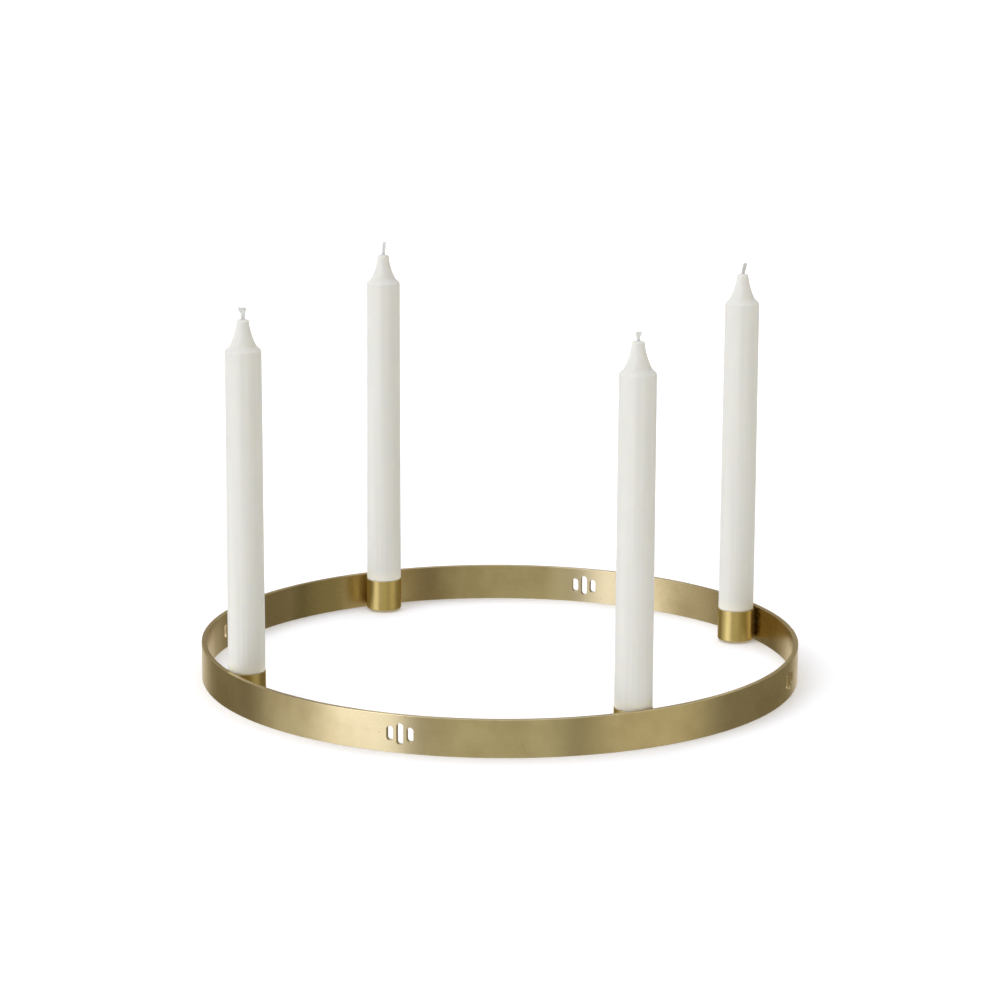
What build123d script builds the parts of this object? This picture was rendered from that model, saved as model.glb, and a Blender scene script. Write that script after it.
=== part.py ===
"""Advent candle ring: a rolled brass band with four brazed candle cups and four crown candles.

The origin is the centre of the ring on the table, +Z is up, and the first cup stands on +X.
Lengths are in millimetres and angles in degrees.
"""

import math
import os

from build123d import *

# Ring: flat brass bar rolled on edge into a circle
ring_outer_diameter = 360.0
ring_wall = 3.0
ring_height = 22.0
ring_edge_radius = 0.45

# Slots pierced through the ring halfway between the cups: one tall slot between two short ones
slot_width = 4.0
slot_pitch = 6.0
tall_slot_height = 12.5
short_slot_height = 8.5

# Cups: thin turned cups inside the ring, lifted clear of the table
cup_count = 4
cup_height = 19.4
cup_lift = 1.3
cup_wall = 0.55
cup_floor = 1.0
cup_bottom_radius = 0.8
cup_rim_radius = 0.15

# Seats: shallow flats milled up the ring's inner face, one behind each cup
seat_margin = 1.0
seat_depth = 0.1

# Braze: filler drawn into the narrow gap between a cup and its seat
braze_gap = 0.1
braze_meniscus_radius = 0.4

# Candles: crown candles with a tapered foot for the cup and a body that draws in towards the shoulder
candle_length = 227.7
candle_body_diameter = 21.8
candle_draw = 0.35
candle_foot_step = 0.45
candle_foot_taper = 0.35
candle_foot_chamfer = 0.8
candle_clearance = 0.15
candle_rim_gap = 0.15
candle_step_rise = 0.35
crown_height = 18.0
shoulder_rise = 2.6
shoulder_width = 2.8
shoulder_radius = 0.7
crown_foot_radius = 1.6
crown_tip_diameter = 6.9
crown_tip_radius = 0.6
crown_tip_rise = 0.7
candle_length_shares = (1.010, 1.009, 0.993, 1.000)

# Shape of the crown's hollow curve: where its middle point lies, along the rise and the taper
crown_waist_height_share = 0.45
crown_waist_width_share = 0.38

# Wicks: braided cotton through the whole candle, with a free end that leans, wavers or curls
wick_diameter = 2.1
wick_clearance = 0.02
wick_collar = 0.4

# Free ends: the azimuth of the plane that they bend in, then for each wick its bends in order.
# A bend is a straight run and a bend radius, as shares of the wick's diameter, and a turn.
wick_azimuth = -27.0
wick_bend_shares = (
    ((0.10, 3.00, -13.0), (1.00, 6.00, 3.0), (0.15, 3.00, -2.0)),
    ((0.10, 3.50, -8.0), (1.00, 3.50, 10.0), (0.30, 3.50, -8.0)),
    ((0.10, 2.50, -20.0), (0.45, 0.95, 92.0), (0.10, 1.50, 14.0)),
    ((0.05, 2.50, 8.0), (0.72, 0.60, -100.0), (0.05, 0.62, -30.0)),
)
wick_tip_shares = (0.36, 0.75, 0.45, 0.06)

# Sizes that follow from the ones above
ring_outer_radius = ring_outer_diameter / 2
ring_inner_radius = ring_outer_radius - ring_wall
candle_radius = candle_body_diameter / 2
candle_foot_radius = candle_radius - candle_foot_step
cup_bore_radius = candle_foot_radius + candle_clearance
cup_outer_radius = cup_bore_radius + cup_wall
seat_radius = ring_inner_radius + seat_depth
cup_axis_radius = seat_radius - braze_gap - cup_outer_radius
braze_reach = cup_outer_radius + braze_gap - braze_meniscus_radius
braze_spread = math.sqrt((cup_outer_radius + braze_meniscus_radius) ** 2 - braze_reach**2)
seat_width = 2 * (braze_spread + seat_margin)
cup_top = cup_lift + cup_height
candle_seat = cup_lift + cup_floor
wick_bore_radius = wick_diameter / 2 + wick_clearance
cup_azimuths = [number * 360 / cup_count for number in range(cup_count)]
slot_azimuths = [azimuth + 180 / cup_count for azimuth in cup_azimuths]
slot_step = math.degrees(slot_pitch / ring_outer_radius)


def polar(radius, azimuth, height):
    """Point at a radius and azimuth about the ring's axis."""
    angle = math.radians(azimuth)
    return Vector(radius * math.cos(angle), radius * math.sin(angle), height)


def plan_plane(azimuth, height):
    """Level plane on the ring's axis, with x pointing out along the azimuth."""
    return Plane(origin=(0, 0, height), x_dir=polar(1, azimuth, 0), z_dir=(0, 0, 1))


def wall_plane(azimuth):
    """Plane touching the ring's outer face at half height, with x along the ring and y up."""
    origin = polar(ring_outer_radius, azimuth, ring_height / 2)
    return Plane(origin=origin, x_dir=polar(1, azimuth + 90, 0), z_dir=polar(1, azimuth, 0))


def upright_plane(azimuth, height, facing):
    """Upright plane through a cup's axis, with its origin at a height and x along the facing azimuth."""
    origin = polar(cup_axis_radius, azimuth, height)
    return Plane(origin=origin, x_dir=polar(1, facing, 0), z_dir=polar(1, facing - 90, 0))


def save(piece, name):
    """Label a finished piece and write it."""
    piece.label = name
    export_step(piece, f"parts/{name}.step")


def make_ring():
    """Rolled band with softened edges, groups of pierced slots and a seat behind each cup."""
    with BuildPart() as ring:
        with BuildSketch():
            Circle(ring_outer_radius)
            Circle(ring_inner_radius, mode=Mode.SUBTRACT)
        extrude(amount=ring_height)
        fillet(ring.edges().filter_by(GeomType.CIRCLE), min(ring_edge_radius, ring_wall / 3))
        with BuildSketch(*[wall_plane(azimuth) for azimuth in slot_azimuths]):
            SlotOverall(tall_slot_height, slot_width, rotation=90)
        extrude(amount=2 * ring_wall, both=True, mode=Mode.SUBTRACT)
        beside = [azimuth + side * slot_step for azimuth in slot_azimuths for side in (-1, 1)]
        with BuildSketch(*[wall_plane(azimuth) for azimuth in beside]):
            SlotOverall(short_slot_height, slot_width, rotation=90)
        extrude(amount=2 * ring_wall, both=True, mode=Mode.SUBTRACT)
        with BuildSketch(*[plan_plane(azimuth, 0) for azimuth in cup_azimuths]):
            with Locations((seat_radius - ring_wall / 2, 0)):
                Rectangle(ring_wall, seat_width)
        extrude(amount=ring_height, mode=Mode.SUBTRACT)
    return ring.part


def make_cup(azimuth):
    """Turned cup with a flat floor, a rounded foot and a softened rim."""
    with BuildPart() as cup:
        with BuildSketch(upright_plane(azimuth, cup_lift, azimuth)):
            with BuildLine():
                Polyline(
                    (0, 0),
                    (cup_outer_radius, 0),
                    (cup_outer_radius, cup_height),
                    (cup_bore_radius, cup_height),
                    (cup_bore_radius, cup_floor),
                    (0, cup_floor),
                    close=True,
                )
            make_face()
        revolve(axis=Axis(polar(cup_axis_radius, azimuth, 0), (0, 0, 1)))
        round_edges = cup.edges().filter_by(GeomType.CIRCLE).group_by(Axis.Z)
        fillet(round_edges[-1], min(cup_rim_radius, cup_wall / 3))
        fillet(round_edges[0], min(cup_bottom_radius, cup_floor))
    return cup.part


def make_braze(azimuth):
    """Filler between a cup and its seat, ending in a hollow meniscus on each side."""
    cup_centre = Vector(cup_axis_radius, 0)
    meniscus = Vector(cup_axis_radius + braze_reach, braze_spread)
    on_seat = Vector(seat_radius, braze_spread)
    on_cup = cup_centre + (meniscus - cup_centre).normalized() * cup_outer_radius
    hollow = ((on_seat - meniscus) + (on_cup - meniscus)).normalized() * braze_meniscus_radius + meniscus
    bottom = cup_lift + cup_bottom_radius
    top = min(cup_top - cup_rim_radius, ring_height - ring_edge_radius)
    with BuildPart() as braze:
        with BuildSketch(plan_plane(azimuth, bottom)):
            with BuildLine():
                Line((on_seat.X, -on_seat.Y), (on_seat.X, on_seat.Y))
                ThreePointArc((on_seat.X, on_seat.Y), (hollow.X, hollow.Y), (on_cup.X, on_cup.Y))
                ThreePointArc(
                    (on_cup.X, on_cup.Y), (cup_axis_radius + cup_outer_radius, 0), (on_cup.X, -on_cup.Y)
                )
                ThreePointArc((on_cup.X, -on_cup.Y), (hollow.X, -hollow.Y), (on_seat.X, -on_seat.Y))
            make_face()
        extrude(amount=top - bottom)
    return braze.part


def make_candle(azimuth, length):
    """Wax of a crown candle, bored through for its wick."""
    foot_base = candle_foot_radius - candle_foot_taper
    foot_top = cup_top + candle_rim_gap - candle_seat
    shoulder = candle_radius - candle_draw
    crown_foot = shoulder - shoulder_width
    tip = crown_tip_diameter / 2
    shoulder_height = length - crown_height
    hollow_foot = shoulder_height + shoulder_rise
    tip_height = length - crown_tip_rise
    waist = (
        tip + (crown_foot - tip) * crown_waist_width_share,
        hollow_foot + (tip_height - hollow_foot) * crown_waist_height_share,
    )
    with BuildPart() as candle:
        with BuildSketch(upright_plane(azimuth, candle_seat, azimuth)) as profile:
            with BuildLine():
                body = Polyline(
                    (wick_bore_radius, 0),
                    (foot_base - candle_foot_chamfer, 0),
                    (foot_base, candle_foot_chamfer),
                    (candle_foot_radius, foot_top),
                    (candle_radius, foot_top + candle_step_rise),
                    (shoulder, shoulder_height),
                    (crown_foot, hollow_foot),
                )
                hollow = ThreePointArc(body @ 1, waist, (tip, tip_height))
                Polyline(hollow @ 1, (wick_bore_radius, length), body @ 0)
            make_face()
            # Corners counted up from the foot: 4 is the shoulder, 5 the foot of the crown and 6 its tip
            for corner, radius in ((6, crown_tip_radius), (5, crown_foot_radius), (4, shoulder_radius)):
                fillet(profile.vertices().group_by(Axis.Y)[corner], radius)
        revolve(axis=Axis(polar(cup_axis_radius, azimuth, 0), (0, 0, 1)))
    return candle.part


def make_wick(azimuth, length, bends, tip_share):
    """Wick from the candle's foot, up through the wax and out in its bent free end."""
    with BuildPart() as wick:
        with BuildLine(upright_plane(azimuth, candle_seat, wick_azimuth)) as path:
            run = Line((0, 0), (0, length + wick_collar))
            for run_share, radius_share, turn in bends:
                run = Line(run @ 1, run @ 1 + (run % 1) * (run_share * wick_diameter))
                run = JernArc(run @ 1, run % 1, radius_share * wick_diameter, turn)
            Line(run @ 1, run @ 1 + (run % 1) * (tip_share * wick_diameter))
        with BuildSketch(Plane(origin=polar(cup_axis_radius, azimuth, candle_seat), z_dir=(0, 0, 1))):
            Circle(wick_diameter / 2)
        sweep(path=path.wire())
    return wick.part


os.makedirs("parts", exist_ok=True)
save(make_ring(), "ring")
for index, cup_azimuth in enumerate(cup_azimuths):
    number = index + 1
    wax_length = candle_length * candle_length_shares[index % len(candle_length_shares)]
    wick_bends = wick_bend_shares[index % len(wick_bend_shares)]
    wick_tip = wick_tip_shares[index % len(wick_tip_shares)]
    save(make_cup(cup_azimuth), f"candle_cup_{number}")
    save(make_braze(cup_azimuth), f"braze_joint_{number}")
    save(make_candle(cup_azimuth, wax_length), f"candle_wax_{number}")
    save(make_wick(cup_azimuth, wax_length, wick_bends, wick_tip), f"candle_wick_{number}")
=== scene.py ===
"""Looks of the advent candle ring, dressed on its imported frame.

The frame is the part's own: metres, +Z up, the origin at the ring's centre on the table.
Azimuths are in degrees about +Z, from +X.
"""

import math

import bpy
import numpy as np
from mathutils import Matrix, Vector


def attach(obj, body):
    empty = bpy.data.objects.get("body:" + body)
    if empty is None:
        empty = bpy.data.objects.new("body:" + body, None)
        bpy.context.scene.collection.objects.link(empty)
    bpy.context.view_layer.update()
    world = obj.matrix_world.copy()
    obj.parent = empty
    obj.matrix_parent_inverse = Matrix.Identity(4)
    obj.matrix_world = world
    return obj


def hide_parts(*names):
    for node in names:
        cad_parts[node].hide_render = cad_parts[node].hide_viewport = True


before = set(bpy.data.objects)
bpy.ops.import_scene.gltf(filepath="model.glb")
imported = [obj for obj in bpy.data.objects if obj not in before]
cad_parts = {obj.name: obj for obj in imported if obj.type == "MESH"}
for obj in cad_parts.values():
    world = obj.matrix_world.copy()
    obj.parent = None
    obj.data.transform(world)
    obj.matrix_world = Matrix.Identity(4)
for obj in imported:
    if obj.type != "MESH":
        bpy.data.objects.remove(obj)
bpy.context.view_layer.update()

MM = 0.001

# Ring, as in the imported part, with its edges a little crisper
RING_OUTER = 180.0 * MM
RING_INNER = 177.0 * MM
RING_HEIGHT = 22.0 * MM
RING_EDGE = 0.25 * MM
SLOT_HALF_WIDTH = 2.0 * MM
SLOT_PITCH = 6.0 * MM
SLOT_HALF_HEIGHTS = (4.25 * MM, 6.25 * MM, 4.25 * MM)
SLOT_BEVEL = 0.12 * MM
SEAT_RADIUS = 177.1 * MM
SEAT_HALF_WIDTH = 4.96 * MM
SEAT_HALF_ANGLE = math.asin(SEAT_HALF_WIDTH / SEAT_RADIUS)

# Cups and their braze
CUP_AZIMUTHS = (0.0, 90.0, 180.0, 270.0)
CUP_AXIS = 165.85 * MM
CUP_OUTER = 11.15 * MM
CUP_BORE = 10.6 * MM
CUP_LOW = 1.3 * MM
CUP_TOP = 20.7 * MM
CUP_FLOOR = 1.0 * MM
CUP_FOOT_RADIUS = 0.8 * MM
CUP_RIM_RADIUS = 0.15 * MM
CUP_CORNER_RADIUS = 0.3 * MM
BRAZE_MENISCUS = 0.4 * MM
BRAZE_LOW = 2.1 * MM
BRAZE_TOP = 20.55 * MM

# Candles
CANDLE_SEAT = 2.3 * MM
CANDLE_LENGTHS = (229.977 * MM, 229.7493 * MM, 226.1061 * MM, 227.7 * MM)
CANDLE_RADIUS = 10.9 * MM
CANDLE_SHOULDER = 10.55 * MM
CANDLE_FOOT = 10.45 * MM
CANDLE_FOOT_BASE = 10.1 * MM
CANDLE_FOOT_TOP = 18.55 * MM
CANDLE_FOOT_CHAMFER = 0.8 * MM
CANDLE_STEP_RISE = 0.35 * MM
CROWN_HEIGHT = 18.0 * MM
CROWN_FOOT = 7.75 * MM
CROWN_FOOT_RISE = 2.6 * MM
CROWN_TIP = 3.45 * MM
CROWN_TIP_DROP = 0.4 * MM
CROWN_WAIST_WIDTH_SHARE = 0.38
CROWN_WAIST_HEIGHT_SHARE = 0.45
WICK_BORE = 1.07 * MM
WICK_RADIUS = 1.05 * MM
WICK_AZIMUTH = -27.0

# Camera that matches the photograph's view
CAMERA_PLACE = (-0.90935, -1.78470, 0.56067)
CAMERA_AZIMUTH = 63.012
CAMERA_DOWN = 12.780
CAMERA_ROLL = 0.296
CAMERA_LENS = 123.222
CAMERA_SENSOR = 36.0
CAMERA_CLIP = (0.1, 60.0)


def polar(radius, azimuth, height=0.0):
    """Point at a radius and azimuth about the ring's axis."""
    angle = math.radians(azimuth)
    return Vector((radius * math.cos(angle), radius * math.sin(angle), height))


# Node helpers


def new_material(name):
    """New node material; returns the material, its tree and its Principled shader."""
    material = bpy.data.materials.new(name)
    material.use_nodes = True
    tree = material.node_tree
    return material, tree, tree.nodes["Principled BSDF"]


def feed(tree, node, inputs):
    """Fill a node's inputs, each with a value or from a socket."""
    for name, value in inputs.items():
        if isinstance(value, bpy.types.NodeSocket):
            tree.links.new(value, node.inputs[name])
        else:
            node.inputs[name].default_value = value


def add_node(tree, kind, inputs=None, **settings):
    """New shader node with its settings and inputs."""
    made = tree.nodes.new("ShaderNode" + kind)
    for name, value in settings.items():
        setattr(made, name, value)
    feed(tree, made, inputs or {})
    return made


def calc(tree, operation, *values, clamp=False):
    """Output of a math node."""
    inputs = dict(enumerate(values))
    return add_node(tree, "Math", inputs, operation=operation, use_clamp=clamp).outputs[0]


def vector_calc(tree, operation, *vectors):
    """Output of a vector math node: a value for a length or a dot product, and otherwise a vector."""
    made = add_node(tree, "VectorMath", dict(enumerate(vectors)), operation=operation)
    return made.outputs["Value" if operation in ("LENGTH", "DOT_PRODUCT") else "Vector"]


def add_up(tree, *terms):
    """Sum of terms, each a value or a pair of a value and its factor."""
    values = [calc(tree, "MULTIPLY", *term) if isinstance(term, tuple) else term for term in terms]
    total = values[0]
    for value in values[1:]:
        total = calc(tree, "ADD", total, value)
    return total


def remap(tree, value, low, high, to_low=0.0, to_high=1.0):
    """Value eased from one range to another, held at the ends."""
    inputs = {"Value": value, "From Min": low, "From Max": high, "To Min": to_low, "To Max": to_high}
    return add_node(tree, "MapRange", inputs, interpolation_type="SMOOTHSTEP", clamp=True).outputs[0]


def mix(tree, factor, first, second):
    """Colour mixed from two colours."""
    return add_node(tree, "Mix", {0: factor, 6: first, 7: second}, data_type="RGBA").outputs[2]


def split(tree, vector):
    """The three values of a vector."""
    return add_node(tree, "SeparateXYZ", {0: vector}).outputs


def combine(tree, x, y, z):
    """Vector from three values."""
    return add_node(tree, "CombineXYZ", {0: x, 1: y, 2: z}).outputs[0]


def noise(tree, vector, scale=1.0, detail=3.0, roughness=0.55):
    """Noise value at a place."""
    inputs = {"Vector": vector, "Scale": scale, "Detail": detail, "Roughness": roughness}
    return add_node(tree, "TexNoise", inputs).outputs["Fac"]


def stretched_noise(tree, parts, level, upright, detail):
    """Noise at a place, with one scale for its two level parts and one for its upright part."""
    scales = (level, level, upright)
    scaled = [calc(tree, "MULTIPLY", part, scale) for part, scale in zip(parts, scales)]
    return noise(tree, combine(tree, *scaled), detail=detail)


def bump(tree, height, strength, distance):
    """Normal of a surface that a height makes uneven."""
    inputs = {"Strength": strength, "Distance": distance, "Height": height}
    return add_node(tree, "Bump", inputs).outputs[0]


def standing_x(tree):
    """How far along X the piece stands."""
    return split(tree, add_node(tree, "ObjectInfo").outputs["Location"])[0]


# Brass: colours, scales of noises per metre, and shares of what is mixed in
BAND_LOOK = {
    "gold": (0.70, 0.602, 0.376, 1.0),
    "patina": (0.50, 0.403, 0.227, 1.0),
    # Worn brass, also used for a painted highlight by the slots
    "worn_and_highlight": (0.76, 0.66, 0.43, 1.0),
    "edge_tint": (0.92, 0.82, 0.62, 1.0),
    "line_run": 22.0,
    "fine_lines": 3600.0,
    "broad_lines": 850.0,
    "clouds": 26.0,
    "specks": 210.0,
    "cloud_share": 0.62,
    "line_share": 0.13,
    # Inner face: patina and painted shade, heavier towards one azimuth
    "inside": (178.2 * MM, 178.8 * MM),
    "inside_patina_and_shade": 0.50,
    "patina_and_shade_drift": 123.0,
    "heat_and_shade_share": 0.55,
    "painted_shade_share": 0.0,
    "speck_level": 0.762,
    "rims": (0.0, RING_HEIGHT),
    "rim_width": 0.7 * MM,
    "rim_share": 0.15,
    "rough": 0.22,
    "bump": 0.10,
    "anisotropic": 0.75,
    "coat": 0.25,
}
CUP_LOOK = {
    "gold": (0.68, 0.545, 0.228, 1.0),
    "patina": (0.53, 0.400, 0.146, 1.0),
    # Worn brass, also used for a painted highlight on the rims
    "worn_and_highlight": (0.82, 0.70, 0.41, 1.0),
    "edge_tint": (0.95, 0.80, 0.52, 1.0),
    "line_run": 60.0,
    "fine_lines": 5200.0,
    "broad_lines": 900.0,
    "clouds": 70.0,
    "specks": 320.0,
    "cloud_share": 0.35,
    "line_share": 0.30,
    "inside": (10.7 * MM, 10.9 * MM),
    "inside_patina_and_shade": 0.35,
    "patina_and_shade_drift": 0.0,
    "heat_and_shade_share": 0.0,
    "painted_shade_share": 0.45,
    "speck_level": 0.76,
    "rims": (CUP_LOW, CUP_TOP),
    "rim_width": 0.45 * MM,
    "rim_share": 0.5,
    "rough": 0.31,
    "bump": 0.2,
    "anisotropic": 0.45,
    "coat": 0.10,
}
# Brown beside the cups on the band's inner face: brazing heat tint and painted shade
HEAT_TINT_AND_SHADE = (0.36, 0.262, 0.125, 1.0)
# Painted shade on the ring's inner face about one azimuth
INNER_PAINTED_SHADE_TINT = (0.20, 0.16, 0.055, 1.0)
# Painted shade that darkens the cups towards -X
CUP_PAINTED_SHADE_TINT = (0.36, 0.28, 0.12, 1.0)
TARNISH = (0.16, 0.11, 0.045, 1.0)
INNER_PAINTED_SHADE_AZIMUTH = 104.3
SPECK_SOFTNESS = 0.05
SPECK_SHARE = 0.55
BRASS_BUMP = 0.02 * MM
BRASS_COAT_ROUGHNESS = 0.22
LINES_ROUND_AXIS = 0.25

# Ranges for remap: from low and high, and to low and high where they are fixed
PATINA_CLOUDS = (0.36, 0.70)
PATINA_AND_SHADE_DRIFT = (-0.2, 0.9, 0.55, 1.25)
HEAT_AND_SHADE_FADE = (0.20, 0.36)
HEAT_AND_SHADE_DIP = (0.04, 0.13, 0.35, 1.0)
HEAT_AND_SHADE_CLOUDS = (0.35, 0.65, 0.75, 1.0)
INNER_PAINTED_SHADE_EDGE = (0.9890, 0.9981, 0.0, 0.68)
# Lighter by the slots on the inner face: polish and painted highlight
SLOT_POLISH_AND_HIGHLIGHT = (0.474, 0.494, 0.0, 0.8)
RIM_CLOUDS = (0.3, 0.6, 0.35, 1.0)

# Colours of the other materials
FILLER_BRIGHT = (0.40, 0.29, 0.115, 1.0)
FILLER_DULL = (0.26, 0.175, 0.065, 1.0)
WAX_SHADED = (0.729, 0.727, 0.688, 1.0)
WAX_PALE = (0.757, 0.755, 0.716, 1.0)
# Painted warm bounce light on the wax just above the cup
WAX_PAINTED_BOUNCE = (0.825, 0.802, 0.717, 1.0)
WAX_PAINTED_BOUNCE_REACH = 9.0 * MM
# Painted shade in the grooves between the wick's threads
COTTON_GROOVE_SHADE = (0.58, 0.575, 0.55, 1.0)
COTTON_PALE = (0.88, 0.875, 0.845, 1.0)
# Painted shade that greys the wicks towards +X
COTTON_PAINTED_SHADE = (0.42, 0.415, 0.39, 1.0)
COTTON_PAINTED_SHADE_SHARE = 0.42


def brushed_brass(name, look):
    """Brass with fine lines round its axis, cloudy patina, specks of tarnish and worn rims, with painted
    shade and painted highlights.
    """
    material, tree, shader = new_material(name)
    place = add_node(tree, "TexCoord").outputs["Object"]
    x, y, z = split(tree, place)
    radius = vector_calc(tree, "LENGTH", combine(tree, x, y, 0.0))
    turned = (x, y, calc(tree, "ADD", z, radius))
    fine = stretched_noise(tree, turned, look["line_run"], look["fine_lines"], 3.0)
    broad = stretched_noise(tree, turned, look["line_run"] / 2, look["broad_lines"], 2.0)
    cloud = noise(tree, place, look["clouds"], 4.0, 0.6)
    inside = remap(tree, radius, *look["inside"], 1.0, 0.0)

    def facing(azimuth):
        """Cosine of the angle from an azimuth."""
        return calc(tree, "DIVIDE", vector_calc(tree, "DOT_PRODUCT", place, polar(1.0, azimuth)), radius)

    # Patina and painted shade on the inner face, heavier towards one azimuth
    patina_and_shade_drift = calc(tree, "MULTIPLY", remap(tree, facing(look["patina_and_shade_drift"]), *PATINA_AND_SHADE_DRIFT), look["inside_patina_and_shade"])
    clouds = remap(tree, cloud, *PATINA_CLOUDS, 0.0, look["cloud_share"])
    age = add_up(tree, clouds, (broad, look["line_share"]))
    age = calc(tree, "ADD", age, calc(tree, "MULTIPLY", inside, patina_and_shade_drift), clamp=True)
    colour = mix(tree, age, look["gold"], look["patina"])
    if look["heat_and_shade_share"]:
        # Half the sine of twice the azimuth: nothing at the cups and a half at the slots
        corner = calc(tree, "DIVIDE", calc(tree, "MULTIPLY", x, y), calc(tree, "MULTIPLY", radius, radius))
        corner = calc(tree, "ABSOLUTE", corner)
        # Brown darkening of the inner face beside each cup: brazing heat tint and painted shade from the cup
        # and candle
        heat_and_shade = remap(tree, corner, *HEAT_AND_SHADE_FADE, look["heat_and_shade_share"], 0.0)
        heat_and_shade = calc(tree, "MULTIPLY", heat_and_shade, remap(tree, corner, *HEAT_AND_SHADE_DIP))
        heat_and_shade = calc(tree, "MULTIPLY", heat_and_shade, remap(tree, cloud, *HEAT_AND_SHADE_CLOUDS))
        # Painted shade on the inner face, darkest about one azimuth
        stain_and_shade = remap(tree, facing(INNER_PAINTED_SHADE_AZIMUTH), *INNER_PAINTED_SHADE_EDGE)
        # Lighter inner face by each group of slots: polish and painted highlight
        polish_and_highlight = remap(tree, corner, *SLOT_POLISH_AND_HIGHLIGHT)
        for share, tint in ((heat_and_shade, HEAT_TINT_AND_SHADE), (stain_and_shade, INNER_PAINTED_SHADE_TINT), (polish_and_highlight, look["worn_and_highlight"])):
            colour = mix(tree, calc(tree, "MULTIPLY", share, inside), colour, tint)
    if look["painted_shade_share"]:
        # Painted shade: cups darker towards -X
        cup_painted_shade = remap(tree, standing_x(tree), -CUP_AXIS, 0.0, look["painted_shade_share"], 0.0)
        colour = mix(tree, cup_painted_shade, colour, CUP_PAINTED_SHADE_TINT)
    speck, level = noise(tree, place, look["specks"], 2.0, 0.5), look["speck_level"]
    speck = remap(tree, speck, level, level + SPECK_SOFTNESS, 0.0, SPECK_SHARE)
    colour = mix(tree, speck, colour, TARNISH)
    # Lighter rims: wear, and on the cups a painted highlight as well
    low, high = look["rims"]
    low_rim = remap(tree, z, low, low + look["rim_width"], look["rim_share"], 0.0)
    high_rim = remap(tree, z, high - look["rim_width"], high, 0.0, look["rim_share"])
    worn_rim_and_highlight = calc(tree, "MULTIPLY", calc(tree, "MAXIMUM", low_rim, high_rim), remap(tree, cloud, *RIM_CLOUDS))
    height = add_up(tree, (fine, 0.6), (broad, 0.4))
    feed(tree, shader, {
        "Base Color": mix(tree, worn_rim_and_highlight, colour, look["worn_and_highlight"]),
        "Roughness": add_up(tree, look["rough"], (fine, 0.03), (cloud, 0.10), (speck, 0.2)),
        "Normal": bump(tree, height, look["bump"], BRASS_BUMP),
        "Tangent": add_node(tree, "Tangent", direction_type="RADIAL", axis="Z").outputs[0],
        "Metallic": 1.0,
        "Anisotropic": look["anisotropic"],
        "Anisotropic Rotation": LINES_ROUND_AXIS,
        "Coat Weight": look["coat"],
        "Coat Roughness": BRASS_COAT_ROUGHNESS,
        "Specular Tint": look["edge_tint"],
    })
    return material


def braze_filler():
    """Dull cast filler with a grainy skin."""
    material, tree, shader = new_material("braze_filler")
    place = add_node(tree, "TexCoord").outputs["Object"]
    grain = noise(tree, place, 900.0, 4.0, 0.6)
    stain_and_shade = noise(tree, place, 160.0, 3.0, 0.5)
    feed(tree, shader, {
        "Base Color": mix(tree, remap(tree, stain_and_shade, 0.35, 0.65), FILLER_BRIGHT, FILLER_DULL),
        "Roughness": remap(tree, grain, 0.3, 0.7, 0.42, 0.62),
        "Normal": bump(tree, grain, 0.35, 0.05 * MM),
        "Metallic": 1.0,
    })
    return material


def candle_wax():
    """Off-white wax with painted warm bounce light at the foot: light soaks in, and the satin skin has faint
    drawn lines.
    """
    material, tree, shader = new_material("candle_wax")
    place = add_node(tree, "TexCoord").outputs["Object"]
    parts = split(tree, place)
    drawn = stretched_noise(tree, parts, 420.0, 8.0, 3.0)
    mottle = noise(tree, place, 110.0, 4.0, 0.55)
    grain = noise(tree, place, 1500.0, 3.0, 0.6)
    shade = add_up(tree, (mottle, 0.2), (drawn, 0.8))
    colour = mix(tree, remap(tree, shade, 0.38, 0.62), WAX_SHADED, WAX_PALE)
    # Painted warm bounce light, fading up from the cup's rim
    foot = remap(tree, parts[2], CANDLE_FOOT_TOP, CANDLE_FOOT_TOP + WAX_PAINTED_BOUNCE_REACH, 1.0, 0.0)
    height = add_up(tree, (mottle, 0.12), (grain, 0.12), (drawn, 0.35))
    feed(tree, shader, {
        "Base Color": mix(tree, foot, colour, WAX_PAINTED_BOUNCE),
        "Roughness": remap(tree, add_up(tree, mottle, (grain, 0.4)), 0.5, 0.9, 0.40, 0.52),
        "Normal": bump(tree, height, 0.22, 0.12 * MM),
        "Subsurface Weight": 0.7,
        "Subsurface Radius": (1.0, 0.85, 0.62),
        "Subsurface Scale": 2.2 * MM,
        "Specular IOR Level": 0.42,
    })
    return material


def wick_cotton():
    """Waxed cotton: fine threads along each strand, with painted shade between them; painted shade greys it
    towards +X.
    """
    material, tree, shader = new_material("wick_cotton")
    spots = add_node(tree, "TexCoord").outputs
    along, around, _ = split(tree, spots["UV"])
    twist = add_up(tree, (around, 7.0), (along, 900.0))
    threads = calc(tree, "SINE", calc(tree, "MULTIPLY", twist, math.tau))
    fuzz = noise(tree, spots["Object"], 2600.0, 3.0, 0.6)
    height = add_up(tree, (threads, 0.35), fuzz)
    # Random tone from the fuzz, and painted shade in the grooves between threads
    colour = mix(tree, remap(tree, height, 0.1, 0.9), COTTON_GROOVE_SHADE, COTTON_PALE)
    # Painted shade: wicks greyer towards +X
    wick_painted_shade = remap(tree, standing_x(tree), 0.0, CUP_AXIS, 0.0, COTTON_PAINTED_SHADE_SHARE)
    feed(tree, shader, {
        "Base Color": mix(tree, wick_painted_shade, colour, COTTON_PAINTED_SHADE),
        "Roughness": remap(tree, fuzz, 0.3, 0.7, 0.58, 0.78),
        "Normal": bump(tree, height, 0.5, 0.06 * MM),
        "Subsurface Weight": 0.15,
        "Subsurface Scale": 0.4 * MM,
        "Specular IOR Level": 0.35,
    })
    return material


BRASS_BAND = brushed_brass("brass_band", BAND_LOOK)
BRASS_CUP = brushed_brass("brass_cup", CUP_LOOK)
BRAZE = braze_filler()
WAX = candle_wax()
COTTON = wick_cotton()


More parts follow.
